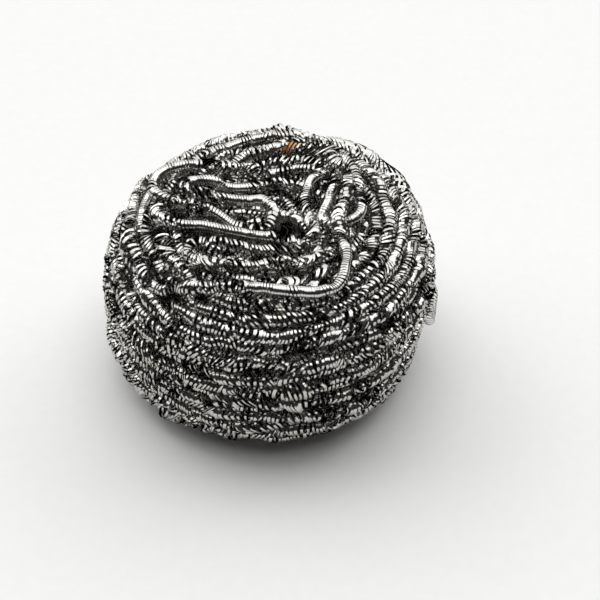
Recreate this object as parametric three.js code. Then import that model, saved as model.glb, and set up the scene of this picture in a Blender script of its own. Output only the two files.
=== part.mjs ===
// Spiral steel scourer: one long coil of flat stainless ribbon, wound round and round like a ball of
// yarn into a squat pad, with its last lengths left as loose loops in the hollow of the top.
// The strand is modelled at the outside of its coil, as one continuous solid from end to end.
// Millimetres, +Z up, origin at the middle of the underside, +X to the right, +Y to the back.

import * as THREE from "three";

// Driving dimensions of the pad
const PAD_WIDTH = 81.4; // across the wound body, over the strands
const PAD_HEIGHT = 47.8; // from the resting side to the crest of the rim
const EDGE_RADIUS = 14; // rounding between the side and the top and bottom
const OUT_OF_ROUND = 0.5; // how far the hand-shaped pad leaves a true circle
const BASE_TAPER = 1.5; // how much further in its side stands at the underside
const SIDE_LEAN = 1.3; // how far its top is pushed to the right, and its underside to the left
const HOLLOW_DEPTH = 7; // dip in the middle of the top
const HOLLOW_RADIUS = 25; // reach of that dip
const FOOT_DEPTH = 2; // dip in the middle of the underside
const FOOT_RADIUS = 14; // reach of that dip

// Driving dimensions of the strand
const STRAND_WIDTH = 2.8; // outside of the coiled ribbon
const STRAND_SIDES = 6; // sides of the strand's section
const BEND_RADIUS = 3.2; // the strand bends no tighter than this
const TURN_CLEARANCE = 0.45; // free space that neighbouring turns keep
const RESTING_FLAT = 0.4; // how much a strand is pressed flat where it lies on the table
const CHORD_ERROR = 0.6; // how far the facets may cut a bend short
const MOST_RINGS = 985; // sections that the strand is drawn with at most

// The strand's first end hangs out of the side on the right. From its cut tip inwards: how far it stands
// out from the side, y, and height above the pad's middle.
const LOOSE_END = [
  [2.8, -2.5, -12.5],
  [2.4, -2.5, -6],
  [1, -1.5, 0.5],
  [-2.6, 0.5, 5],
  [-8.6, 3.5, 6.5],
];

// The winding begins with open loops that cross the middle: how far they reach from the pad's axis, how
// many there are, and the heights above the pad's middle between which they run.
const CORE_LOOPS = { reach: 20, loops: 4, from: 9, to: -10.5 };
const LOOP_MISS = 0.12; // how far such loops pass by the axis, as a share of their reach
const LOOP_TURN = 0.69; // how far round the axis each swing carries them

// Then come the layers of turns, from the inside out: how deep each lies under the outermost strands, the
// distance between its turns, how far its turns lean up on one side and down on the other and at what
// angle they lean, how much they ripple, and how far from the axis they begin and end.
const LAYERS = [
  { depth: 9, pitch: 13, lean: 4, leanAt: 2.9, ripple: 2, pole: 9 },
  { depth: 3.2, pitch: 4.6, lean: 5, leanAt: 4.4, ripple: 1.2, pole: 6 },
  { depth: 0, pitch: 3.3, lean: 4.5, leanAt: 0.9, ripple: 2, pole: 14 },
];
const TURN_SCATTER = 1.4; // how unevenly the turns are laid, along and across the winding
const LEAN_SCATTER = 0.8; // how much the lean changes from turn to turn

// Crossing loops lie in the hollow of the top, under the last ones.
const HOLLOW_LOOPS = { reach: 15, loops: 3, from: 14, to: 17.5 };

// The last loops on the top, as x, y and height above the turns that they lie on.
const LAST_LOOPS = [
  [-20, 5, 1],
  [-28.5, 5, 3],
  [-27, 10.5, 3],
  [-22.5, 15, 3],
  [-16.5, 16, 3],
  [-9.5, 16.5, 2],
  [-4, 16, 3],
  [-0.5, 12.5, 4],
  [-5, 11, 4],
  [-10.5, 10.5, 4],
  [-17.5, 10.5, 3],
  [-22, 8, 3],
  [-19, 5, 4],
  [-13, 5, 4.5],
  [-6, 5.5, 5.5],
  [-1, 6, 6],
  [0.5, 1.5, 6],
  [-0.5, -3.5, 5.5],
  [-4.5, -4, 5.5],
  [-8, -2, 5.5],
  [-12, 1, 4.5],
  [-17.5, 2, 3.5],
  [-24, 1.5, 3],
  [-27.5, -1.5, 3],
  [-24.5, -4.5, 3],
  [-19, -4, 4],
  [-13.5, -5.5, 5],
  [-6.5, -6.5, 5.5],
  [-1, -7, 5.5],
  [5, -8, 5],
  [9.5, -10, 2.5],
  [13, -13, 2],
  [10.5, -16.5, 2],
  [5, -17.5, 3],
  [-4, -18.5, 3],
  [-12.5, -19, 3],
  [-18, -18, 3],
  [-19.5, -14.5, 3],
  [-16.5, -12.5, 3.5],
  [-10.5, -12, 4],
  [-5, -11.5, 4],
  [1, -11, 4],
  [6, -12.5, 4],
  [9.5, -11, 5],
  [12, -7, 5],
  [11.5, -2, 5],
  [9, 3.5, 5],
  [10, 9, 4.5],
  [12, 13, 3.5],
  [16, 15, 3.5],
  [17.5, 11, 3.5],
  [15.5, 6, 4],
  [13, 1, 4],
  [15, -3, 3],
  [18.5, -5, 3],
  [22, -2, 3],
  [22.5, 3.5, 3],
  [22, 9.5, 3],
  [21, 16, 3],
  [17, 18, 4],
  [14.5, 15.5, 6.5],
  [18.5, 12.5, 6.5],
  [20, 7, 6],
  [19, 1.5, 6],
  [17, -3.5, 6],
  [16.5, -8, 5.5],
  [18, -12.5, 5],
  [18, -18.5, 4],
  [17, -24.5, 3.5],
  [15.5, -28, 3.2],
  [10.5, -28, 3.2],
  [3, -27, 3.2],
  [-5, -27, 3.2],
  [-11.5, -27, 3],
  [-19, -25, 3],
];

// The last turn follows the rim from the front left round the back and tucks in again on the right.
const RIM_RADIUS = 34;
const RIM_FROM = 1.25 * Math.PI;
const RIM_TO = -0.1 * Math.PI;
const TUCK_DEPTH = 3; // how far its end dips under the turns
const TUCK_LENGTH = 16; // over which it dips

// Settling of the winding
const POINT_SPACING = 2.4; // distance between the points that the strand is laid by
const SETTLING_ROUNDS = 240;
const CLEARING_ROUNDS = 40;
const STIFFNESS = 0.7; // how strongly the strand resists small ripples, from 0 to 1
const HOLD = 0.05; // how strongly the loose ends keep their places, from 0 to 1
const SEED = 7;

const { clamp, lerp, smoothstep } = THREE.MathUtils;
const strandRadius = STRAND_WIDTH / 2;
const turnDistance = STRAND_WIDTH + TURN_CLEARANCE;
const outerRadius = PAD_WIDTH / 2 - strandRadius;
const halfHeight = PAD_HEIGHT / 2 - strandRadius;
const edgeRadius = Math.min(halfHeight, EDGE_RADIUS - strandRadius);
const middle = PAD_HEIGHT / 2;
const crest = middle + halfHeight;

// Repeatable numbers from -1 to 1.
function scatterFrom(seed) {
  let state = seed;
  return () => {
    state = (state * 1664525 + 1013904223) % 4294967296;
    return (state / 4294967296) * 2 - 1;
  };
}

// Point of a turn at an angle round the pad's axis.
function aroundAxis(radius, angle, height) {
  return new THREE.Vector3(radius * Math.cos(angle), radius * Math.sin(angle), height);
}

// How far the hand-shaped pad stands out from a true cylinder at an angle and a height.
function standOut(angle, height) {
  const rise = clamp((height - middle) / halfHeight, -1, 1);
  const lean = SIDE_LEAN * rise * Math.cos(angle);
  return OUT_OF_ROUND * Math.cos(3 * angle + 2.4) + lean + BASE_TAPER * Math.min(0, rise);
}

// A smooth dip of 1 on the axis that ends at the given radius.
function dip(radius, reach) {
  return Math.max(0, 1 - (radius / reach) ** 2) ** 2;
}

// Height by which the top and the underside dip towards the axis.
function sunk(radius, height) {
  if (height > middle) return -HOLLOW_DEPTH * dip(radius, HOLLOW_RADIUS);
  return FOOT_DEPTH * dip(radius, FOOT_RADIUS);
}

// Height of the turns on the top at a distance from the axis.
function topHeight(radius) {
  const over = clamp(radius - (outerRadius - edgeRadius), 0, edgeRadius);
  return crest - edgeRadius + Math.sqrt(edgeRadius ** 2 - over ** 2) + sunk(radius, crest);
}

// Half the outline of a layer, from the underside over the rounded side to the top.
function layerOutline(depth) {
  const width = outerRadius - depth;
  const height = Math.max(strandRadius, halfHeight - depth);
  const edge = clamp(edgeRadius - depth, 1, height);
  const outline = new THREE.Path();
  outline.moveTo(0, middle - height);
  outline.lineTo(width - edge, middle - height);
  outline.absarc(width - edge, middle - height + edge, edge, -Math.PI / 2, 0);
  outline.absarc(width - edge, middle + height - edge, edge, 0, Math.PI / 2);
  outline.lineTo(0, middle + height);
  return outline;
}

// The offsets of one turn passing smoothly into those of the next.
function blendOffsets(offsets, turn) {
  const first = Math.floor(turn);
  const share = smoothstep(turn - first, 0, 1);
  return [0, 1].map((k) => lerp(offsets[first][k], offsets[first + 1][k], share));
}

// One layer of turns, wound up the outline or down it.
function layLayer({ depth, pitch, lean, leanAt, ripple, pole }, upwards, scatter) {
  const outline = layerOutline(depth);
  const length = outline.getLength();
  const ends = pole / length;
  const turns = Math.max(1, Math.round((length * (1 - 2 * ends)) / pitch));
  const steps = Math.ceil((turns * Math.PI * outerRadius) / (2 * POINT_SPACING));
  const offsets = Array.from({ length: turns + 2 }, () => [scatter(), scatter()]);
  const points = [];
  for (let i = 0; i <= steps; i++) {
    const share = i / steps;
    const turn = share * turns;
    const angle = turn * 2 * Math.PI;
    const [along, across] = blendOffsets(offsets, turn);
    const swing = lean * (1 + LEAN_SCATTER * across) * Math.sin(angle - leanAt + LEAN_SCATTER * along);
    const sway = swing + ripple * Math.sin(2 * angle + 3 * leanAt);
    const fade = Math.min(1, 4 * share, 4 * (1 - share));
    const wander = (sway * fade + along * TURN_SCATTER) / length;
    const place = ends + (1 - 2 * ends) * (upwards ? share : 1 - share) + wander;
    const at = outline.getPointAt(clamp(place, ends / 2, 1 - ends / 2));
    const radius = at.x + standOut(angle, at.y) * (at.x / outerRadius) + across * TURN_SCATTER;
    points.push(aroundAxis(radius, angle, at.y + sunk(at.x, at.y)));
  }
  return points;
}

// Open loops that swing out from the axis and back across it from one height to another.
function layLoops({ reach, loops, from, to }) {
  const steps = Math.ceil((loops * 4 * reach) / POINT_SPACING);
  const points = [];
  for (let i = 0; i <= steps; i++) {
    const share = i / steps;
    const swing = share * loops * 2 * Math.PI;
    const radius = reach * (LOOP_MISS - (1 - LOOP_MISS) * Math.sin(swing));
    points.push(aroundAxis(radius, swing * LOOP_TURN, middle + lerp(from, to, share)));
  }
  return points;
}

// The loose end on the right.
function layLooseEnd() {
  return LOOSE_END.map(([out, y, rise]) => new THREE.Vector3(outerRadius + out, y, middle + rise));
}

// The last loops on the top.
function layLastLoops() {
  return LAST_LOOPS.map(([x, y, lift]) => new THREE.Vector3(x, y, topHeight(Math.hypot(x, y)) + lift));
}

// The turn along the rim.
function layRim() {
  const steps = Math.ceil((RIM_RADIUS * (RIM_FROM - RIM_TO)) / POINT_SPACING);
  const height = topHeight(RIM_RADIUS);
  const points = [];
  for (let i = 0; i <= steps; i++) {
    points.push(aroundAxis(RIM_RADIUS, lerp(RIM_FROM, RIM_TO, i / steps), height));
  }
  points.push(aroundAxis(RIM_RADIUS - TUCK_DEPTH, RIM_TO - TUCK_LENGTH / RIM_RADIUS, height - TUCK_DEPTH));
  return points;
}

// A smooth curve through points, cut into equal lengths.
function evenPoints(points) {
  const curve = new THREE.CatmullRomCurve3(points);
  curve.arcLengthDivisions = points.length * 6;
  return curve.getSpacedPoints(Math.round(curve.getLength() / POINT_SPACING));
}

// Pairs of points that may touch, found through a grid of cells one turn distance wide.
function* nearPairs(points, skip) {
  const cells = new Map();
  const keyOf = (x, y, z) => (x * 2048 + y) * 2048 + z;
  const cellOf = (p) => [p.x, p.y, p.z].map((v) => Math.floor(v / turnDistance) + 512);
  for (let i = 0; i < points.length; i++) {
    const [cx, cy, cz] = cellOf(points[i]);
    for (let x = cx - 1; x <= cx + 1; x++)
      for (let y = cy - 1; y <= cy + 1; y++)
        for (let z = cz - 1; z <= cz + 1; z++)
          for (const j of cells.get(keyOf(x, y, z)) ?? []) if (i - j > skip) yield [i, j];
    const key = keyOf(cx, cy, cz);
    if (cells.has(key)) cells.get(key).push(i);
    else cells.set(key, [i]);
  }
}

// Draws a point that has left the pad's outline back to it.
function keepInside(p) {
  const radius = Math.hypot(p.x, p.y);
  const over = Math.max(0, radius - (outerRadius + standOut(Math.atan2(p.y, p.x), p.z) - edgeRadius));
  const above = Math.max(0, Math.abs(p.z - middle) - (halfHeight - edgeRadius));
  const reach = Math.hypot(over, above);
  if (reach <= edgeRadius) return;
  const back = 1 - edgeRadius / reach;
  p.x -= (p.x * back * over) / radius;
  p.y -= (p.y * back * over) / radius;
  p.z -= back * above * Math.sign(p.z - middle);
}

// Lets the laid strand find room: turns push each other apart, the strand keeps its length and bends
// gently. The held ends keep near their places, and the rest stays within the pad's outline.
function settle(points, isHeld) {
  const neighbours = Math.ceil((Math.PI * turnDistance) / (2 * POINT_SPACING)) + 1;
  const deepestSag = POINT_SPACING ** 2 / (2 * BEND_RADIUS);
  const gap = new THREE.Vector3();
  const homes = points.map((p) => p.clone());
  for (let round = 0; round < SETTLING_ROUNDS; round++) {
    for (const [i, j] of nearPairs(points, neighbours)) {
      gap.subVectors(points[i], points[j]);
      const distance = gap.length();
      if (distance >= turnDistance) continue;
      gap.multiplyScalar((turnDistance - distance) / (2 * distance));
      points[i].add(gap);
      points[j].sub(gap);
    }
    for (let i = 1; i < points.length; i++) {
      gap.subVectors(points[i], points[i - 1]);
      gap.multiplyScalar((1 - POINT_SPACING / gap.length()) / 2);
      points[i - 1].add(gap);
      points[i].sub(gap);
    }
    for (let i = 2; i < points.length - 2; i++) {
      gap.addVectors(points[i - 1], points[i + 1]).multiplyScalar(4);
      gap.sub(points[i - 2]).sub(points[i + 2]).divideScalar(6).sub(points[i]);
      points[i].addScaledVector(gap, STIFFNESS);
      gap.addVectors(points[i - 1], points[i + 1]).divideScalar(2).sub(points[i]);
      const sag = gap.length();
      if (sag > deepestSag) points[i].addScaledVector(gap, STIFFNESS * (1 - deepestSag / sag));
    }
    points.forEach((p, i) => {
      if (isHeld(i)) p.lerp(homes[i], HOLD);
      else keepInside(p);
    });
  }
  return points;
}

// Keeps only the points that a chain of straight facets needs to follow the strand.
function facetPoints(points, error = CHORD_ERROR) {
  const kept = [points[0]];
  const chord = new THREE.Line3();
  const foot = new THREE.Vector3();
  const strays = (p) => chord.closestPointToPoint(p, true, foot).distanceTo(p) > error;
  let start = 0;
  for (let end = start + 3; end < points.length; end++) {
    chord.set(points[start], points[end]);
    const between = points.slice(start + 1, end);
    if (between.length > 1 && between.some(strays)) {
      start = end - 1;
      kept.push(points[start]);
    }
  }
  kept.push(points.at(-1));
  return kept.length > MOST_RINGS ? facetPoints(points, error * 1.05) : kept;
}

// Where two straight facets of the strand come nearest, as shares of their lengths.
function nearestShares(a, b, c, d) {
  const [u, v, w] = [b.clone().sub(a), d.clone().sub(c), a.clone().sub(c)];
  const [uu, uv, vv, uw, vw] = [u.dot(u), u.dot(v), v.dot(v), u.dot(w), v.dot(w)];
  const first = clamp((uv * vw - vv * uw) / Math.max(1e-9, uu * vv - uv * uv), 0, 1);
  const second = clamp((vw + uv * first) / vv, 0, 1);
  return [clamp((uv * second - uw) / uu, 0, 1), second];
}

// Moves the rings apart where straight facets of two turns would still touch.
function clearRings(rings) {
  const gap = new THREE.Vector3();
  const [p, q] = [new THREE.Vector3(), new THREE.Vector3()];
  const reach = 6 * turnDistance;
  const nearest = STRAND_WIDTH + TURN_CLEARANCE / 3;
  for (let round = 0; round < CLEARING_ROUNDS; round++) {
    for (let i = 0; i < rings.length - 1; i++) {
      for (let j = i + 3; j < rings.length - 1; j++) {
        const [a, b, c, d] = [rings[i], rings[i + 1], rings[j], rings[j + 1]];
        if (a.distanceToSquared(c) > reach * reach) continue;
        const [s, t] = nearestShares(a, b, c, d);
        gap.subVectors(p.lerpVectors(a, b, s), q.lerpVectors(c, d, t));
        const distance = gap.length();
        if (distance >= nearest) continue;
        const weight = s * s + (1 - s) * (1 - s) + t * t + (1 - t) * (1 - t);
        gap.multiplyScalar((nearest - distance) / (weight * distance));
        a.addScaledVector(gap, 1 - s);
        b.addScaledVector(gap, s);
        c.addScaledVector(gap, t - 1);
        d.addScaledVector(gap, -t);
      }
    }
    for (const ring of rings) ring.z = Math.max(ring.z, strandRadius);
  }
  return rings;
}

// A curve whose even steps fall on its own points, so that a sweep has one ring at each.
class RingCurve extends THREE.CatmullRomCurve3 {
  getUtoTmapping(u) {
    return u;
  }

  // Rolls the rings so that a strand lying level has a flat side down; steep ones keep the last roll.
  computeFrenetFrames(steps) {
    const frames = super.computeFrenetFrames(steps);
    const side = (2 * Math.PI) / STRAND_SIDES;
    const level = new THREE.Vector3();
    let roll = 0;
    for (let i = 0; i <= steps; i++) {
      const [along, across, upright] = [frames.tangents[i], frames.normals[i], frames.binormals[i]];
      level.set(-along.y, along.x, 0);
      if (level.length() > Math.abs(along.z)) {
        const needed = Math.atan2(level.dot(upright), level.dot(across));
        roll = needed + side * Math.round((roll - needed) / side);
      }
      across.applyAxisAngle(along, roll);
      upright.applyAxisAngle(along, roll);
    }
    return frames;
  }
}

// The solid strand along its rings.
function sweepStrand(rings) {
  const section = new THREE.Shape();
  for (let i = 0; i < STRAND_SIDES; i++) {
    const angle = (i / STRAND_SIDES) * 2 * Math.PI;
    const corner = [strandRadius * Math.cos(angle), strandRadius * Math.sin(angle)];
    if (i === 0) section.moveTo(...corner);
    else section.lineTo(...corner);
  }
  section.closePath();
  const sweep = { steps: rings.length - 1, extrudePath: new RingCurve(rings), bevelEnabled: false };
  return new THREE.ExtrudeGeometry(section, sweep);
}

// Presses the strand flat where it rests on the table and sets the pad over the origin.
function restOnTable(geometry) {
  geometry.computeBoundingBox();
  const { min, max } = geometry.boundingBox;
  geometry.translate(-(min.x + max.x) / 2, -(min.y + max.y) / 2, -min.z - RESTING_FLAT);
  const position = geometry.attributes.position;
  for (let i = 0; i < position.count; i++) position.setZ(i, Math.max(0, position.getZ(i)));
  geometry.computeVertexNormals();
  return geometry;
}

const scatter = scatterFrom(SEED);
const winding = [
  ...layLoops(CORE_LOOPS),
  ...LAYERS.flatMap((layer, i) => layLayer(layer, i % 2 === 0, scatter)),
  ...layLoops(HOLLOW_LOOPS),
];
const rimTurn = layRim();
const end = evenPoints([...layLooseEnd(), winding[0]]).slice(0, -1);
const wound = evenPoints(winding);
const loops = evenPoints([winding.at(-1), ...layLastLoops(), rimTurn[0]]).slice(1, -1);
const laid = [...end, ...wound, ...loops, ...evenPoints(rimTurn)];
const loopsFrom = end.length + wound.length;
const isHeld = (i) => i < end.length || (i >= loopsFrom && i < loopsFrom + loops.length);
const rings = clearRings(facetPoints(settle(laid, isHeld)));

const stainlessSteel = new THREE.MeshStandardMaterial({ color: 0xb5b3ad, roughness: 0.3, metalness: 1 });
const strand = new THREE.Mesh(restOnTable(sweepStrand(rings)), stainlessSteel);
strand.name = "wound_strand";

const scourer = new THREE.Group();
scourer.add(strand);
export default scourer;
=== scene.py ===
"""Spiral steel scourer: flat stainless ribbon, coiled into a springy strand and wound into a squat pad.

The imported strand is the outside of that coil. Its centre line is read back from the solid, ring by ring,
and the turns of the ribbon itself are laid along it. Metres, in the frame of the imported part.
"""

import logging
import math
from dataclasses import dataclass
from enum import Enum

import bmesh
import bpy
import numpy as np
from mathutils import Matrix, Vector


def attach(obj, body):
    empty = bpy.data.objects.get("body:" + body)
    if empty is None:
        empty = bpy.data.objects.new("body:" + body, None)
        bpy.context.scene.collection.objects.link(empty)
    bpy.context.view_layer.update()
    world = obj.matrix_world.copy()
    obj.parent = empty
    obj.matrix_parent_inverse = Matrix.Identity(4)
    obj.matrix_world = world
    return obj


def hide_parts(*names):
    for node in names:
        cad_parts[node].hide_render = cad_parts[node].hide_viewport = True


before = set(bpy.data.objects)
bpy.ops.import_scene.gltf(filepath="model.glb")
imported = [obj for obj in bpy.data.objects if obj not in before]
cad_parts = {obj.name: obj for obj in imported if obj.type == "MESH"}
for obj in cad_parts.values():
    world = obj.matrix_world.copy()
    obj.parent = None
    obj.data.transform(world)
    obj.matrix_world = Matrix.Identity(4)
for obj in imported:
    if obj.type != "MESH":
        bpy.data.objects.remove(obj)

log = logging.getLogger("scourer")
MM = 0.001
CAD_NODE = "wound_strand"
BODY = "root"
RIBBON_MAP = "ribbon"  # map along and across the ribbon, in metres
INSIDE = "inside"  # attribute of the ribbon, 0 on its outer face and 1 in the middle of its inner one


def linear(hex_colour: str) -> tuple[float, float, float, float]:
    """Turns an sRGB hex colour into linear light.

    Args:
        hex_colour: Six hex digits, with or without a leading hash.

    Returns:
        Red, green, blue and an alpha of 1.
    """
    digits = hex_colour.lstrip("#")
    shares = [int(digits[i : i + 2], 16) / 255 for i in (0, 2, 4)]
    light = [s / 12.92 if s <= 0.04045 else ((s + 0.055) / 1.055) ** 2.4 for s in shares]
    return (*light, 1.0)


def add_node(
    tree: bpy.types.NodeTree, kind: str, inputs: dict | None = None, **settings: object
) -> bpy.types.Node:
    """Adds a node with its settings and links.

    Args:
        tree: The node tree that it goes into.
        kind: Blender's name for the kind of node.
        inputs: Input names or numbers, each with the output socket or the value that feeds it.
        **settings: Properties of the node.

    Returns:
        The new node.
    """
    node = tree.nodes.new(kind)
    for name, value in settings.items():
        setattr(node, name, value)
    for key, value in (inputs or {}).items():
        if isinstance(value, bpy.types.NodeSocket):
            tree.links.new(value, node.inputs[key])
        else:
            node.inputs[key].default_value = value
    return node


def show(name: str, mesh: bpy.types.Mesh, material: bpy.types.Material) -> bpy.types.Object:
    """Puts a finished mesh into the scene.

    Args:
        name: Name of the object.
        mesh: Its mesh, already in place.
        material: Its finish.

    Returns:
        The new object, at the origin.
    """
    mesh.materials.append(material)
    shown = bpy.data.objects.new(name, mesh)
    bpy.context.scene.collection.objects.link(shown)
    return shown


def lengths_along(points: np.ndarray) -> np.ndarray:
    """Gives the length of a line from its first point to each of its points."""
    return np.concatenate([[0], np.cumsum(np.linalg.norm(np.diff(points, axis=0), axis=1))])


def smooth_line(points: np.ndarray, step: float, cuts: int = 48) -> np.ndarray:
    """Runs a centripetal Catmull-Rom curve through points and cuts it into even steps.

    Args:
        points: The points that the curve passes, one a row.
        step: Length of each step.
        cuts: Straights that stand for the curve between two of the points, while it is measured.

    Returns:
        The points of the even steps.
    """
    ends = [2 * points[0] - points[1]], [2 * points[-1] - points[-2]]
    chain = np.vstack([ends[0], points, ends[1]])
    knots = np.concatenate([[0], np.cumsum(np.sqrt(np.linalg.norm(np.diff(chain, axis=0), axis=1)))])
    shares = np.linspace(0, 1, cuts, endpoint=False)
    at = (knots[1:-2, None] + (knots[2:-1] - knots[1:-2])[:, None] * shares)[..., None]

    def between(first: np.ndarray, second: np.ndarray, start: np.ndarray, stop: np.ndarray) -> np.ndarray:
        """Blends two rows of points by where the knots stand."""
        start, stop = start[:, None, None], stop[:, None, None]
        return ((stop - at) * first + (at - start) * second) / (stop - start)

    k = [knots[i : len(knots) - 3 + i] for i in range(4)]
    p = [chain[i : len(chain) - 3 + i, None] for i in range(4)]
    low, mid, high = (between(p[i], p[i + 1], k[i], k[i + 1]) for i in range(3))
    spans = between(between(low, mid, k[0], k[2]), between(mid, high, k[1], k[3]), k[1], k[2])
    line = np.vstack([spans.reshape(-1, 3), points[-1]])
    along = lengths_along(line)
    even = np.linspace(0, along[-1], round(along[-1] / step) + 1)
    return np.column_stack([np.interp(even, along, line[:, axis]) for axis in range(3)])


def wander(count: int, spacing: float, rng: np.random.Generator) -> np.ndarray:
    """Draws a smooth random value from -1 to 1 along a line.

    Args:
        count: Number of steps along the line.
        spacing: Steps between two fresh values.
        rng: The seeded source of the values.

    Returns:
        One value for each step.
    """
    spare = 3  # fresh values past the last whole one, so that none is missing at the end
    fresh = rng.uniform(-1, 1, int(count / spacing) + spare)
    place = np.arange(count) / spacing
    first = place.astype(int)
    share = place - first
    share = share * share * (3 - 2 * share)
    return fresh[first] * (1 - share) + fresh[first + 1] * share


class Sight(Enum):
    """How much of a stretch of the strand shows, as the facets that each turn of its ribbon gets."""

    HIDDEN = 8
    GLIMPSED = 10
    SEEN = 16


@dataclass(frozen=True)
class DrawnStainless:
    """Stainless ribbon, rolled flat from drawn wire: bright and hard, with fine lines along its length."""

    name: str = "drawn_stainless_ribbon"
    bright: str = "#d4d2cd"
    dull: str = "#b5b3ae"
    # painted shade for the ribbon's inner face, inside the coil
    inside: str = "#171615"
    rust: str = "#d08427"
    edge_tint: str = "#cbcbc8"  # of light that grazes the metal
    roughness: tuple[float, float] = (0.1, 0.22)  # where it is bright and where it is dull
    patch: float = 7 * MM  # size of the dulled patches
    patch_detail: float = 3.0
    line: float = 0.12 * MM  # width of the drawn lines
    line_length: float = 2 * MM
    line_depth: float = 0.004 * MM
    rust_spots: tuple[tuple[float, float, float], ...] = (  # in millimetres
        (5.0, 25.6, 47.5),
        (3.5, 24.4, 46.2),
    )
    rust_reach: float = 1.6 * MM
    rust_core: float = 0.5  # share of a fleck's reach that is rusted through
    shade_edge: float = 0.1  # share of the inner face over which the painted shade begins

    def material(self) -> bpy.types.Material:
        """Builds the node material.

        Returns:
            The material, which reads Object coordinates and the map along the ribbon.
        """
        steel = bpy.data.materials.new(self.name)
        steel.use_nodes = True
        tree = steel.node_tree
        shader = tree.nodes["Principled BSDF"]
        where = add_node(tree, "ShaderNodeTexCoord").outputs["Object"]
        # Handled steel is dulled in soft patches a few turns long.
        patches = add_node(
            tree,
            "ShaderNodeTexNoise",
            {"Vector": where, "Scale": 1 / self.patch, "Detail": self.patch_detail},
        )
        tone = add_node(
            tree,
            "ShaderNodeMix",
            {"Factor": patches.outputs["Fac"], "A": linear(self.bright), "B": linear(self.dull)},
            data_type="RGBA",
        )
        # Painted shade: the ribbon's inner face, inside the coil, is painted near-black, so the gaps between
        # the turns look dark.
        depth = add_node(tree, "ShaderNodeAttribute", attribute_name=INSIDE)
        painted_shade = add_node(
            tree,
            "ShaderNodeMapRange",
            {"Value": depth.outputs["Fac"], "From Max": self.shade_edge},
        )
        face = add_node(
            tree,
            "ShaderNodeMix",
            {"Factor": painted_shade.outputs["Result"], "A": tone.outputs["Result"], "B": linear(self.inside)},
            data_type="RGBA",
        )
        stain = self.add_rust(tree, where)
        colour = add_node(
            tree,
            "ShaderNodeMix",
            {"Factor": stain, "A": face.outputs["Result"], "B": linear(self.rust)},
            data_type="RGBA",
        )
        tree.links.new(colour.outputs["Result"], shader.inputs["Base Color"])
        gloss = add_node(
            tree,
            "ShaderNodeMapRange",
            {"Value": patches.outputs["Fac"], "To Min": self.roughness[0], "To Max": self.roughness[1]},
        )
        tree.links.new(gloss.outputs["Result"], shader.inputs["Roughness"])
        # The drawn wire's lines are hundredths of a millimetre apart. They are coarser here, to show.
        along = add_node(tree, "ShaderNodeUVMap", uv_map=RIBBON_MAP).outputs["UV"]
        stretch = (1 / self.line_length, 1 / self.line, 1)
        lines = add_node(tree, "ShaderNodeMapping", {"Vector": along, "Scale": stretch})
        grain = add_node(tree, "ShaderNodeTexNoise", {"Vector": lines.outputs["Vector"], "Scale": 1.0})
        relief = {"Height": grain.outputs["Fac"], "Distance": self.line_depth}
        tree.links.new(add_node(tree, "ShaderNodeBump", relief).outputs["Normal"], shader.inputs["Normal"])
        # Rust is no metal: the flecks take the light evenly.
        bare = add_node(tree, "ShaderNodeMath", {0: 1.0, 1: stain}, operation="SUBTRACT")
        tree.links.new(bare.outputs["Value"], shader.inputs["Metallic"])
        shader.inputs["Specular Tint"].default_value = linear(self.edge_tint)
        return steel

    def add_rust(self, tree: bpy.types.NodeTree, where: bpy.types.NodeSocket) -> bpy.types.NodeSocket:
        """Adds the few amber flecks at the back of the top.

        Args:
            tree: Node tree of the material.
            where: Output that gives the place on the pad.

        Returns:
            The output that is 1 in a fleck and 0 elsewhere.
        """
        stain: float | bpy.types.NodeSocket = 0.0
        for spot in self.rust_spots:
            middle = tuple(MM * value for value in spot)
            away = add_node(tree, "ShaderNodeVectorMath", {0: where, 1: middle}, operation="DISTANCE")
            fleck = add_node(
                tree,
                "ShaderNodeMapRange",
                {
                    "Value": away.outputs["Value"],
                    "From Min": self.rust_reach,
                    "From Max": self.rust_reach * self.rust_core,
                },
            ).outputs["Result"]
            both = add_node(tree, "ShaderNodeMath", {0: stain, 1: fleck}, operation="MAXIMUM")
            stain = both.outputs["Value"]
        return stain


@dataclass(frozen=True)
class MattePaper:
    """White background paper: an even matte white with no gloss."""

    name: str = "matte_white_paper"
    white: str = "#f0f0ef"
    fibre: str = "#ebebe9"
    fibre_size: float = 3 * MM

    def material(self) -> bpy.types.Material:
        """Builds the node material.

        Returns:
            The material, which reads Object coordinates.
        """
        paper = bpy.data.materials.new(self.name)
        paper.use_nodes = True
        tree = paper.node_tree
        shader = tree.nodes["Principled BSDF"]
        where = add_node(tree, "ShaderNodeTexCoord").outputs["Object"]
        fibres = add_node(tree, "ShaderNodeTexNoise", {"Vector": where, "Scale": 1 / self.fibre_size})
        tone = add_node(
            tree,
            "ShaderNodeMix",
            {"Factor": fibres.outputs["Fac"], "A": linear(self.white), "B": linear(self.fibre)},
            data_type="RGBA",
        )
        tree.links.new(tone.outputs["Result"], shader.inputs["Base Color"])
        shader.inputs["Roughness"].default_value = 1.0
        shader.inputs["Specular IOR Level"].default_value = 0.0
        return paper


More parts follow.
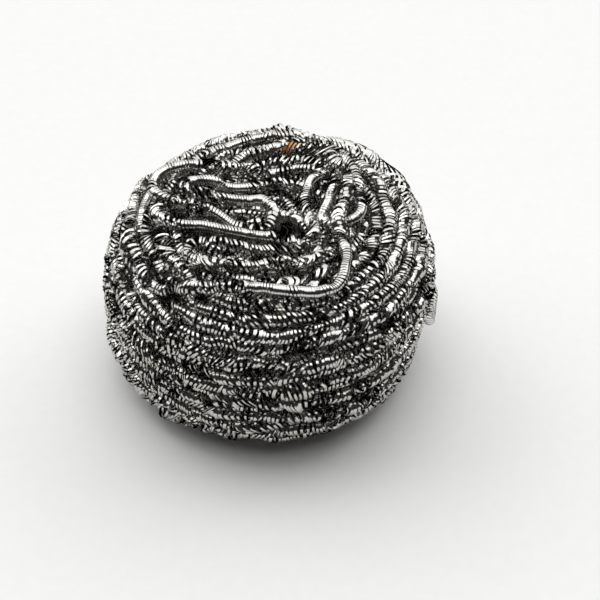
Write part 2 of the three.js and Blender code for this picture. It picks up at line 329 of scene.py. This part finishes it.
@dataclass
class CentreLine:
    """The strand's centre line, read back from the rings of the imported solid, from its free end inwards."""

    sides: int = 6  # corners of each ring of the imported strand
    weld: float = 0.001 * MM  # corners of the solid that are closer are one
    step: float = 0.2 * MM  # between two points of the line
    sway: float = 0.65 * MM  # how far the springy strand leaves its smooth line
    sway_length: float = 6 * MM  # between two fresh values of the sway
    seed: int = 3

    def __post_init__(self) -> None:
        """Reads the solid and works out the line, its directions and its length."""
        self.points = smooth_line(self.ring_centres(), self.step)
        rng = np.random.default_rng(self.seed)
        count = len(self.points)
        drift = [wander(count, self.sway_length / self.step, rng) for _ in range(3)]
        self.points += self.sway * np.column_stack(drift)
        self.along = lengths_along(self.points)
        self.length = self.along[-1]
        self.forward = np.gradient(self.points, axis=0)
        self.forward /= np.linalg.norm(self.forward, axis=1)[:, None]
        self.across = self.carried_across()
        self.upright = np.cross(self.forward, self.across)

    def ring_centres(self) -> np.ndarray:
        """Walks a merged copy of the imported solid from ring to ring.

        Returns:
            The middle of each ring, one a row.
        """
        bm = bmesh.new()
        bm.from_mesh(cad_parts[CAD_NODE].data)
        bmesh.ops.remove_doubles(bm, verts=bm.verts, dist=self.weld)
        bm.verts.ensure_lookup_table()
        one_end = min(self.walk(bm, {0})[-1])
        other_end = min(self.walk(bm, {one_end})[-1])
        tip = max((bm.verts[one_end], bm.verts[other_end]), key=lambda vert: vert.co.x)
        nearest = sorted(bm.verts, key=lambda vert: (vert.co - tip.co).length)[: self.sides]
        rings = self.walk(bm, {vert.index for vert in nearest})
        places = np.array([vert.co for vert in bm.verts])
        bm.free()
        return np.array([places[sorted(ring)].mean(axis=0) for ring in rings])

    @staticmethod
    def walk(bm: bmesh.types.BMesh, start: set[int]) -> list[set[int]]:
        """Spreads over the edges of a mesh.

        Args:
            bm: The merged mesh.
            start: Numbers of the vertices to start from.

        Returns:
            The vertices that lie 0, 1, 2 and so on edges away from the start.
        """
        reached = set(start)
        levels = [start]
        while levels[-1]:
            edges = ((i, edge) for i in levels[-1] for edge in bm.verts[i].link_edges)
            ahead = {edge.other_vert(bm.verts[i]).index for i, edge in edges} - reached
            reached |= ahead
            levels.append(ahead)
        return levels[:-1]

    def carried_across(self) -> np.ndarray:
        """Carries a direction along the line so that it turns about it as little as it can.

        Returns:
            A direction square to the line for each of its points.
        """
        carried = np.empty_like(self.forward)
        side = Vector((0, 0, 1))
        for i, forward in enumerate(Vector(row) for row in self.forward):
            side = (side - forward * side.dot(forward)).normalized()
            carried[i] = side
        return carried

    def at(self, values: np.ndarray, place: np.ndarray) -> np.ndarray:
        """Reads values along the line at given lengths from its free end.

        Args:
            values: One value or one row of values for each point of the line.
            place: Lengths from the free end.

        Returns:
            The values there.
        """
        if values.ndim == 1:
            return np.interp(place, self.along, values)
        return np.column_stack([np.interp(place, self.along, column) for column in values.T])


class CoilState(Enum):
    """What has been done to the coil in places, as the pitch and the radius of its turns there."""

    SHUT = (0.68 * MM, 1.45 * MM)  # turn on turn, an even tube
    EASED = (0.95 * MM, 1.4 * MM)  # the turns just apart
    PULLED_OPEN = (1.7 * MM, 2.6 * MM)  # wide rings, far apart
    BUNCHED = (0.9 * MM, 2.8 * MM)  # wide rings pushed together into a knob

    def __init__(self, pitch: float, radius: float) -> None:
        """Names the two sizes of a state."""
        self.pitch = pitch
        self.radius = radius


@dataclass(frozen=True)
class Spot:
    """A spot of the strand where its coil is in one of those states."""

    state: CoilState
    place: tuple[float, float, float]  # in millimetres
    reach: float  # both ways along the strand, in millimetres
    fade: float = 0.5  # share of the reach over which it fades out


@dataclass
class Spring:
    """How the ribbon is coiled along the strand: its size, its pitch and how its turns lean."""

    line: CentreLine
    ribbon_width: float = 0.54 * MM
    ribbon_thickness: float = 0.08 * MM
    radius: tuple[float, float] = (1.3 * MM, 1.95 * MM)  # where the coil is narrow and where it is wide
    twist: float = 0.85  # most that the ribbon's face tilts, as a slope
    twist_length: float = 1.3 * MM  # of strand between two fresh values, as in the lengths below
    uneven_radius: float = 0.13  # share by which single turns are wider or narrower
    pitch: tuple[float, float] = (0.62 * MM, 1.15 * MM)  # where the coil is shut and where it is loose
    pitch_length: float = 8 * MM
    slack: tuple[float, float] = (0.95, 0.85)  # how loose it is in the sides and on the top, 0 to 1
    slack_swing: tuple[float, float] = (0.35, 0.5)  # how far that changes along the strand
    top_from: tuple[float, float] = (0.78, 0.86)  # shares of the strand where the top begins and is full
    least_play: float = 0.35  # how crooked shut turns are, as a share of how crooked loose ones are
    uneven: float = 0.25  # share by which single turns are set wider or closer
    lean: float = 0.9  # most that the turns lean along the strand, as a slope
    lean_length: float = 20 * MM
    jitter: float = 0.8  # most that single turns lean besides, as a slope
    jitter_length: float = 2.6 * MM
    seed: int = 11
    spots: tuple[Spot, ...] = ()

    def __post_init__(self) -> None:
        """Draws the coil's changing pitch, width and lean along the whole strand."""
        rng = np.random.default_rng(self.seed)
        line = self.line
        count = len(line.points)

        def drawn(length: float) -> np.ndarray:
            """Draws one smooth random value along the strand."""
            return wander(count, length / line.step, rng)

        top = np.clip((line.along / line.length - self.top_from[0]) / np.ptp(self.top_from), 0, 1)
        changes = (self.slack, self.slack_swing)
        slack, swing = ((1 - top) * side + top * above for side, above in changes)
        loose = np.clip(slack + swing * drawn(self.pitch_length), 0, 1)
        loose *= 1 - self.spot_share(CoilState.SHUT)
        play = self.least_play + (1 - self.least_play) * loose
        pitch = self.pitch[0] + (self.pitch[1] - self.pitch[0]) * loose
        pitch *= 1 + self.uneven * play * drawn(self.jitter_length)
        wide = 0.5 + 0.5 * drawn(self.pitch_length)
        radius = self.radius[0] + (self.radius[1] - self.radius[0]) * wide
        radius *= 1 + self.uneven_radius * play * drawn(self.twist_length)
        for state in CoilState:
            share = self.spot_share(state)
            pitch += (state.pitch - pitch) * share
            radius += (state.radius - radius) * share
        self.radius_at = radius
        self.twist_at = self.twist * drawn(self.twist_length) * play
        swings = [
            self.lean * drawn(self.lean_length) + self.jitter * drawn(self.jitter_length)
            for _ in range(2)
        ]
        self.leans = np.column_stack(swings) * play[:, None]
        steps = np.diff(line.along)
        self.turns = np.concatenate([[0], np.cumsum(steps / pitch[:-1])])

    @property
    def turn_length(self) -> float:
        """Gives the ribbon in one mean turn of the coil."""
        return math.pi * sum(self.radius)

    def spot_share(self, state: CoilState) -> np.ndarray:
        """Works out where the coil is in one of its states.

        Args:
            state: Which of them.

        Returns:
            1 where it is so and 0 where it isn't, for each point of the line.
        """
        line = self.line
        share = np.zeros(len(line.points))
        for spot in self.spots:
            if spot.state is state:
                nearest = np.linalg.norm(line.points - np.array(spot.place) * MM, axis=1).argmin()
                away = np.abs(line.along - line.along[nearest])
                near = (1 - away / (spot.reach * MM)) / spot.fade
                share = np.maximum(share, np.clip(near, 0, 1))
        return share

    def lay(self, turn: np.ndarray, across: np.ndarray, depth: np.ndarray) -> np.ndarray:
        """Lays points of a straight unit coil along the strand.

        Args:
            turn: Turns from the free end of the strand.
            across: Place across the ribbon, from -1 at one edge to 1 at the other.
            depth: Place in the ribbon's thickness, 0 outside and 1 inside.

        Returns:
            The points in the pad.
        """
        line = self.line
        place = np.interp(turn, self.turns, line.along)
        radius = line.at(self.radius_at, place) - depth * self.ribbon_thickness
        radius += line.at(self.twist_at, place) * across * self.ribbon_width / 2
        angle = 2 * math.pi * turn
        swing = radius[:, None] * np.column_stack([np.cos(angle), np.sin(angle)])
        place = place + across * self.ribbon_width / 2 + (swing * line.at(self.leans, place)).sum(axis=1)
        place = np.clip(place, 0, line.length)
        laid = line.at(line.points, place)
        laid += swing[:, :1] * line.at(line.across, place) + swing[:, 1:] * line.at(line.upright, place)
        laid[:, 2] = np.maximum(laid[:, 2], 0)
        return laid


@dataclass
class CoilStretch:
    """A stretch of the strand, as one closed mesh of its coiled ribbon."""

    name: str
    spring: Spring
    shares: tuple[float, float]  # where it begins and ends, as shares of the strand's length
    sight: Sight
    sketch_width: float = 0.2  # of the ribbon of a straight coil with a pitch and radius of 1
    sketch_depth: float = 0.1
    sketch_weld: float = 0.01  # ends of two turns that are closer are joined
    crisp: float = math.radians(60)  # edges that bend more stay crisp

    @property
    def section(self) -> list[tuple[float, float, float]]:
        """Gives the corners of the ribbon's section, a flat triangle with its point inwards."""
        half = self.sketch_width / 2
        return [(-half, 1, 0), (half, 1, 0), (0, 1 - self.sketch_depth, 0)]

    def straight_turn(self) -> bpy.types.Mesh:
        """Spins one turn of the straight coil about the X axis.

        Returns:
            The mesh of the turn, open at both ends.
        """
        bm = bmesh.new()
        verts = [bm.verts.new(corner) for corner in self.section]
        edges = [bm.edges.new((verts[i - 1], verts[i])) for i in range(len(verts))]
        steps = self.sight.value
        bmesh.ops.spin(
            bm,
            geom=verts + edges,
            cent=(0, 0, 0),
            axis=(1, 0, 0),
            dvec=(1 / steps, 0, 0),
            angle=2 * math.pi,
            steps=steps,
        )
        mesh = bpy.data.meshes.new(self.name)
        bm.to_mesh(mesh)
        bm.free()
        return mesh

    def straight_coil(self, turns: int) -> bpy.types.Mesh:
        """Repeats the turn and closes both ends.

        Args:
            turns: Number of turns.

        Returns:
            The mesh of the straight coil.
        """
        sketch = bpy.data.objects.new(self.name, self.straight_turn())
        bpy.context.scene.collection.objects.link(sketch)
        row = sketch.modifiers.new("turns", "ARRAY")
        row.count = turns
        row.use_relative_offset = False
        row.use_constant_offset = True
        row.constant_offset_displace = (1, 0, 0)
        row.use_merge_vertices = True
        row.merge_threshold = self.sketch_weld
        ready = sketch.evaluated_get(bpy.context.evaluated_depsgraph_get())
        mesh = bpy.data.meshes.new_from_object(ready)
        bpy.data.objects.remove(sketch)
        bm = bmesh.new()
        bm.from_mesh(mesh)
        rims = [edge for edge in bm.edges if edge.is_boundary]
        bmesh.ops.holes_fill(bm, edges=rims, sides=len(self.section))
        bmesh.ops.recalc_face_normals(bm, faces=bm.faces)
        bm.to_mesh(mesh)
        bm.free()
        return mesh

    def unit_places(self, mesh: bpy.types.Mesh) -> tuple[np.ndarray, np.ndarray, np.ndarray]:
        """Reads where on the ribbon the vertices of a straight coil lie.

        Args:
            mesh: The mesh of the straight coil.

        Returns:
            For each vertex its turn, its place across the ribbon and its depth in it.
        """
        straight = np.empty(len(mesh.vertices) * 3)
        mesh.vertices.foreach_get("co", straight)
        x, y, z = straight.reshape(-1, 3).T
        share = np.arctan2(z, y) / (2 * math.pi) % 1
        turn = np.round(x - share) + share
        across = np.round(2 * (x - turn) / self.sketch_width)
        depth = np.round((1 - np.hypot(y, z)) / self.sketch_depth)
        return turn, across, depth

    def map_ribbon(self, mesh: bpy.types.Mesh, turn: np.ndarray, across: np.ndarray) -> None:
        """Unrolls the ribbon into a map for the lines of its finish.

        Args:
            mesh: The mesh that gets the map.
            turn: Turn of each vertex.
            across: Place of each vertex across the ribbon.
        """
        corners = np.empty(len(mesh.loops), dtype=np.int32)
        mesh.loops.foreach_get("vertex_index", corners)
        spring = self.spring
        unrolled = np.column_stack([turn * spring.turn_length, across * spring.ribbon_width / 2])
        mesh.uv_layers.new(name=RIBBON_MAP).data.foreach_set("uv", unrolled[corners].ravel())

    def build(self, material: bpy.types.Material) -> bpy.types.Object:
        """Builds the stretch in place.

        Args:
            material: Finish of the ribbon.

        Returns:
            The finished piece.
        """
        line = self.spring.line
        ends = np.interp(np.array(self.shares) * line.length, line.along, self.spring.turns)
        first, last = (int(end) for end in ends)
        mesh = self.straight_coil(last - first)
        turn, across, depth = self.unit_places(mesh)
        mesh.vertices.foreach_set("co", self.spring.lay(first + turn, across, depth).ravel())
        mesh.attributes.new(INSIDE, "FLOAT", "POINT").data.foreach_set("value", depth)
        self.map_ribbon(mesh, turn, across)
        mesh.update()
        mesh.polygons.foreach_set("use_smooth", [True] * len(mesh.polygons))
        mesh.set_sharp_from_angle(angle=self.crisp)
        piece = show(self.name, mesh, material)
        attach(piece, BODY)
        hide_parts(CAD_NODE)
        return piece


@dataclass(frozen=True)
class Softbox:
    """A round soft light far off: where it stands, how wide it is and how bright."""

    azimuth: float  # degrees from the right round towards the back
    rise: float  # degrees above the floor
    spread: float  # half its width, in degrees
    strength: float
    feather: float = 4.0  # degrees over which its edge fades

    def add_to(self, tree: bpy.types.NodeTree, direction: bpy.types.NodeSocket) -> bpy.types.NodeSocket:
        """Adds the softbox to the world's nodes.

        Args:
            tree: Node tree of the world.
            direction: Output that gives the direction looked in.

        Returns:
            The output that gives the softbox's light in that direction.
        """
        azimuth, rise = math.radians(self.azimuth), math.radians(self.rise)
        towards = (math.cos(azimuth) * math.cos(rise), math.sin(azimuth) * math.cos(rise), math.sin(rise))
        facing = add_node(tree, "ShaderNodeVectorMath", {0: direction, 1: towards}, operation="DOT_PRODUCT")
        edge = [math.cos(math.radians(self.spread + side * self.feather / 2)) for side in (1, -1)]
        disc = add_node(
            tree,
            "ShaderNodeMapRange",
            {
                "Value": facing.outputs["Value"],
                "From Min": edge[0],
                "From Max": edge[1],
                "To Max": self.strength,
            },
            interpolation_type="SMOOTHSTEP",
        )
        return disc.outputs["Result"]


@dataclass
class Studio:
    """White paper, soft lights and the camera that looks down on the pad."""

    paper_reach: float = 6.0
    paper_facets: int = 96
    dim: float = 0.04  # even light from all round
    softboxes: tuple[Softbox, ...] = (
        Softbox(0, 90, 28, 1.5),  # overhead
        Softbox(90, 45, 48, 1.4),  # behind the pad
        Softbox(155, 35, 24, 1.5),  # on the left
        Softbox(25, 35, 18, 1.25),  # on the right
    )
    camera_distance: float = 0.4156
    camera_rise: float = math.radians(44.5)
    nearest_shown: float = 10 * MM  # from the camera
    target: tuple[float, float, float] = (-1.3 * MM, 0, 22.5 * MM)  # the pad's middle
    photo_side: int = 600  # pixels of the square picture
    pad_middle: tuple[float, float] = (267.6, 284.8)  # pixel on which the pad's middle falls
    pad_pixels: int = 334  # width of the pad in the picture
    pad_width: float = 85 * MM

    def build(self) -> None:
        """Builds the floor, the light and the camera."""
        self.lay_paper()
        self.light()
        self.aim_camera()

    def lay_paper(self) -> None:
        """Lays the paper under the pad."""
        bm = bmesh.new()
        bmesh.ops.create_circle(bm, cap_ends=True, segments=self.paper_facets, radius=self.paper_reach)
        mesh = bpy.data.meshes.new("paper")
        bm.to_mesh(mesh)
        bm.free()
        show("paper", mesh, MattePaper().material())

    def light(self) -> None:
        """Lights the scene with the softboxes, on a dim even ground."""
        scene = bpy.context.scene
        scene.view_settings.view_transform = "Standard"
        scene.world = bpy.data.worlds.new("studio_light")
        scene.world.use_nodes = True
        tree = scene.world.node_tree
        direction = add_node(tree, "ShaderNodeTexCoord").outputs["Generated"]
        level: float | bpy.types.NodeSocket = self.dim
        for softbox in self.softboxes:
            glow = softbox.add_to(tree, direction)
            both = add_node(tree, "ShaderNodeMath", {0: level, 1: glow}, operation="ADD")
            level = both.outputs["Value"]
        background = tree.nodes["Background"]
        background.inputs["Color"].default_value = (1, 1, 1, 1)
        tree.links.new(level, background.inputs["Strength"])

    def aim_camera(self) -> None:
        """Sets the camera at the picture's angle, with the pad where the picture has it."""
        lens = bpy.data.cameras.new("camera")
        camera = bpy.data.objects.new("camera", lens)
        scene = bpy.context.scene
        scene.collection.objects.link(camera)
        back = Vector((0, -math.cos(self.camera_rise), math.sin(self.camera_rise)))
        camera.location = Vector(self.target) + back * self.camera_distance
        camera.rotation_euler = (-back).to_track_quat("-Z", "Y").to_euler()
        frame_width = self.photo_side * self.pad_width / self.pad_pixels
        lens.lens = lens.sensor_width * self.camera_distance / frame_width
        lens.shift_x = 0.5 - self.pad_middle[0] / self.photo_side
        lens.shift_y = self.pad_middle[1] / self.photo_side - 0.5
        lens.clip_start = self.nearest_shown
        scene.camera = camera


FREE_END = (40.4, -2.1, 11.3)  # in millimetres
SPOTS = (
    # Smooth lengths that lie in the hollow and on the rim.
    Spot(CoilState.SHUT, (-17.0, -5.7, 47.5), 8.0),
    Spot(CoilState.SHUT, (-7.0, -6.5, 46.2), 8.0),
    Spot(CoilState.SHUT, (-26.0, 12.8, 49.0), 9.0),
    Spot(CoilState.SHUT, (-16.0, 10.9, 47.2), 8.0),
    Spot(CoilState.SHUT, (-10.2, 10.5, 45.8), 6.0),
    Spot(CoilState.SHUT, (-8.3, 5.2, 46.4), 5.0),
    Spot(CoilState.SHUT, (-4.5, 4.8, 46.9), 4.0),
    Spot(CoilState.SHUT, (-11.9, -1.0, 45.8), 5.0),
    Spot(CoilState.SHUT, (-0.8, 2.8, 47.2), 5.0),
    Spot(CoilState.SHUT, (8.4, 8.7, 46.7), 5.0),
    Spot(CoilState.SHUT, (13.8, 4.7, 46.7), 6.0),
    Spot(CoilState.SHUT, (19.8, -3.4, 48.3), 5.0),
    Spot(CoilState.SHUT, (20.6, 6.6, 44.9), 6.0),
    Spot(CoilState.SHUT, (16.8, -21.5, 49.0), 10.0),
    Spot(CoilState.SHUT, (10.0, -28.6, 48.5), 8.0),
    Spot(CoilState.SHUT, (-1.0, -28.5, 49.0), 8.0),
    Spot(CoilState.SHUT, (-31.5, 6.0, 44.1), 9.0),
    Spot(CoilState.SHUT, (-11.5, 26.9, 45.2), 5.0),
    Spot(CoilState.SHUT, (-5.4, 30.5, 44.7), 4.0),
    # The free end hangs straight, so its turns are even, and just apart.
    Spot(CoilState.SHUT, FREE_END, 28.0),
    Spot(CoilState.EASED, FREE_END, 28.0),
    # Open rings at the left of the hollow and on the rim at the right.
    Spot(CoilState.PULLED_OPEN, (-25.6, -13.0, 46.2), 11.0),
    Spot(CoilState.PULLED_OPEN, (-28.0, -3.0, 46.0), 6.0),
    Spot(CoilState.PULLED_OPEN, (-34.3, -9.4, 43.5), 10.0),
    Spot(CoilState.PULLED_OPEN, (30.0, 18.2, 42.6), 9.0),
    # A knob at the back, a knot at the front and a bump low on the left.
    Spot(CoilState.BUNCHED, (5.4, 34.5, 43.4), 4.5),
    Spot(CoilState.BUNCHED, (5.0, -38.8, 25.8), 3.5),
    Spot(CoilState.BUNCHED, (5.4, -38.7, 21.6), 3.5),
    Spot(CoilState.BUNCHED, (-24.0, -29.7, 7.5), 3.0),
)


@dataclass
class Winding:
    """The whole strand, as stretches of coiled ribbon from the free end to the last loop on the top."""

    stretches: tuple[tuple[str, float, Sight], ...] = (  # each with the share of the strand where it ends
        ("free_end", 0.003, Sight.SEEN),
        ("core_coil", 0.127, Sight.HIDDEN),
        ("inner_coil", 0.43, Sight.GLIMPSED),
        ("side_coil_low", 0.6, Sight.SEEN),
        ("side_coil_high", 0.76, Sight.SEEN),
        ("rim_coil", 0.87, Sight.SEEN),
        ("hollow_coil", 0.94, Sight.SEEN),
        ("top_coil", 1.0, Sight.SEEN),
    )

    def build(self) -> None:
        """Builds and logs each stretch."""
        steel = DrawnStainless().material()
        spring = Spring(CentreLine(), spots=SPOTS)
        start = 0.0
        for name, stop, sight in self.stretches:
            piece = CoilStretch(name, spring, (start, stop), sight).build(steel)
            triangles = sum(len(face.vertices) - 2 for face in piece.data.polygons)
            log.info("%s: %d triangles", piece.name, triangles)
            start = stop


def main() -> None:
    """Builds the studio and then the pad."""
    logging.basicConfig(level=logging.INFO, format="%(name)s: %(message)s")
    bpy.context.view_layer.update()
    Studio().build()
    Winding().build()


if __name__ == "__main__":
    main()
